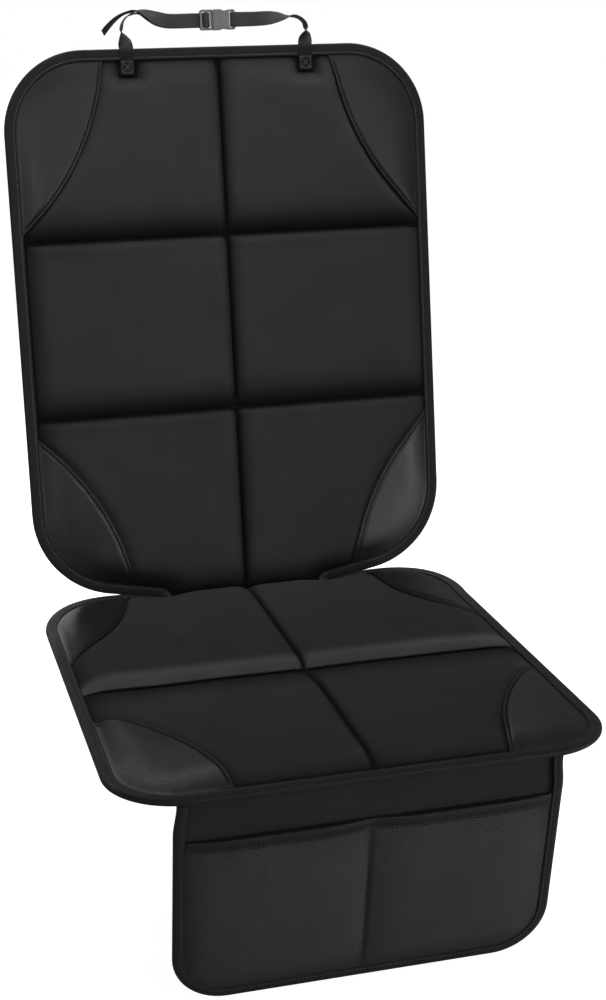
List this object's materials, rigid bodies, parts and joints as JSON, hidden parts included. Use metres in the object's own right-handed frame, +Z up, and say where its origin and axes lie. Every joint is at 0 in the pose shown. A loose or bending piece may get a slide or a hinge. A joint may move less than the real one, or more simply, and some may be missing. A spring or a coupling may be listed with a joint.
{
  "type": "car seat protector mat",
  "caption": "Quilted fabric car seat protector mat, folded at its crease, with leatherette corners, a mesh pocket flap in front and a buckled headrest strap on top.",
  "frame": {"origin": "middle of the seat panel's flat underside, where the mat lies on a car seat's cushion", "axes": "+Z up, -Y to the front where the pocket flap hangs, +X to the right of someone who looks at the mat; the back panel rises at the +Y end, leaning back 7.8 degrees"},
  "size_m": [0.464, 0.5877, 0.8492],
  "materials": {
    "pad_fabric": "matt woven",
    "leatherette": "grained satin",
    "binding_tape": "ribbed tape",
    "mesh_fabric": "open mesh",
    "webbing": "flat webbing",
    "buckle_plastic": "moulded satin"
  },
  "bodies": {
    "root": {"quilted_pad": "pad_fabric", "back_top_patch_left": "leatherette", "back_top_patch_right": "leatherette", "back_low_patch_left": "leatherette", "back_low_patch_right": "leatherette", "seat_rear_patch_left": "leatherette", "seat_rear_patch_right": "leatherette", "seat_front_patch_left": "leatherette", "seat_front_patch_right": "leatherette", "edge_binding": "binding_tape", "front_flap": "pad_fabric", "flap_binding": "binding_tape", "pocket_mesh": "mesh_fabric", "pocket_hem": "binding_tape", "strap_left": "webbing", "strap_right": "webbing", "buckle_latch": "buckle_plastic", "buckle_socket": "buckle_plastic"}
  },
  "joints": []
}
